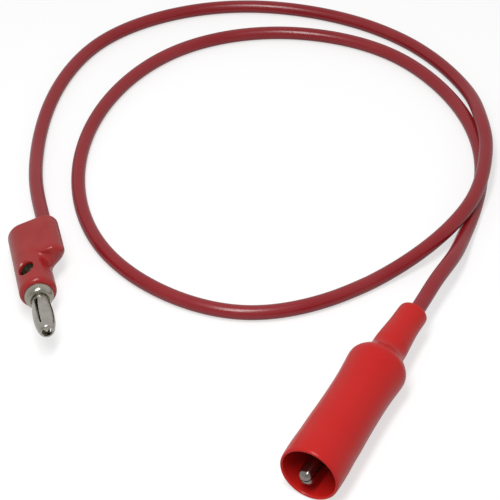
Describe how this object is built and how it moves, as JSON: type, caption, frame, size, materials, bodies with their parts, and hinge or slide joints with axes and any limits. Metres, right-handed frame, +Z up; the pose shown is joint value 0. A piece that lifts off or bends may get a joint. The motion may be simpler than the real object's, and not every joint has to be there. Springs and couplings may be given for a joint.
{
  "type": "test lead",
  "caption": "Red test lead: a stackable 4 mm spring plug on one end of a loose flexible cord and a small spring clip inside a soft tubular boot on the other.",
  "frame": {"origin": "on the resting surface, at the middle of the plan box round the plug and the clip, cord left out", "axes": "+Z up; +X from the plug towards the clip; the plug's pin and the boot's mouth point roughly along -Y"},
  "size_m": [0.1245, 0.1803, 0.0144],
  "materials": {
    "red_moulding": "satin",
    "nickel_plate": "bright nickel",
    "cage_metal": "bright nickel",
    "tinned_core": "stranded copper",
    "red_cord": "satin",
    "red_boot": "soft satin",
    "clip_steel": "plated",
    "clip_steel_top": "plated",
    "rivet_steel": "plated",
    "spring_wire": "drawn wire",
    "tinned_core_clip": "stranded copper"
  },
  "bodies": {
    "lead": {"plug_body": "red_moulding", "plug_contact": "nickel_plate", "plug_spring": "cage_metal", "plug_core": "tinned_core", "cord": "red_cord", "lower_jaw": "clip_steel", "jaw_rivet": "rivet_steel", "jaw_spring": "spring_wire", "clip_core": "tinned_core_clip"},
    "jaw": {"upper_jaw": "clip_steel_top"},
    "sleeve": {"boot": "red_boot"}
  },
  "joints": [
    {"name": "jaw_hinge", "type": "hinge", "parent": "lead", "child": "jaw", "pos_m": [0.03142, -0.01978, 0.00642], "axis": [-0.8111, 0.497, -0.3082], "range_deg": [0, 14], "stiffness_Nm_per_rad": 0.12, "springref_deg": -17.19, "deforming": ["jaw_spring"]},
    {"name": "boot_slide", "type": "slide", "parent": "lead", "child": "sleeve", "axis": [0.4761, 0.8794, 0.0027], "range_m": [0, 0.012]}
  ]
}
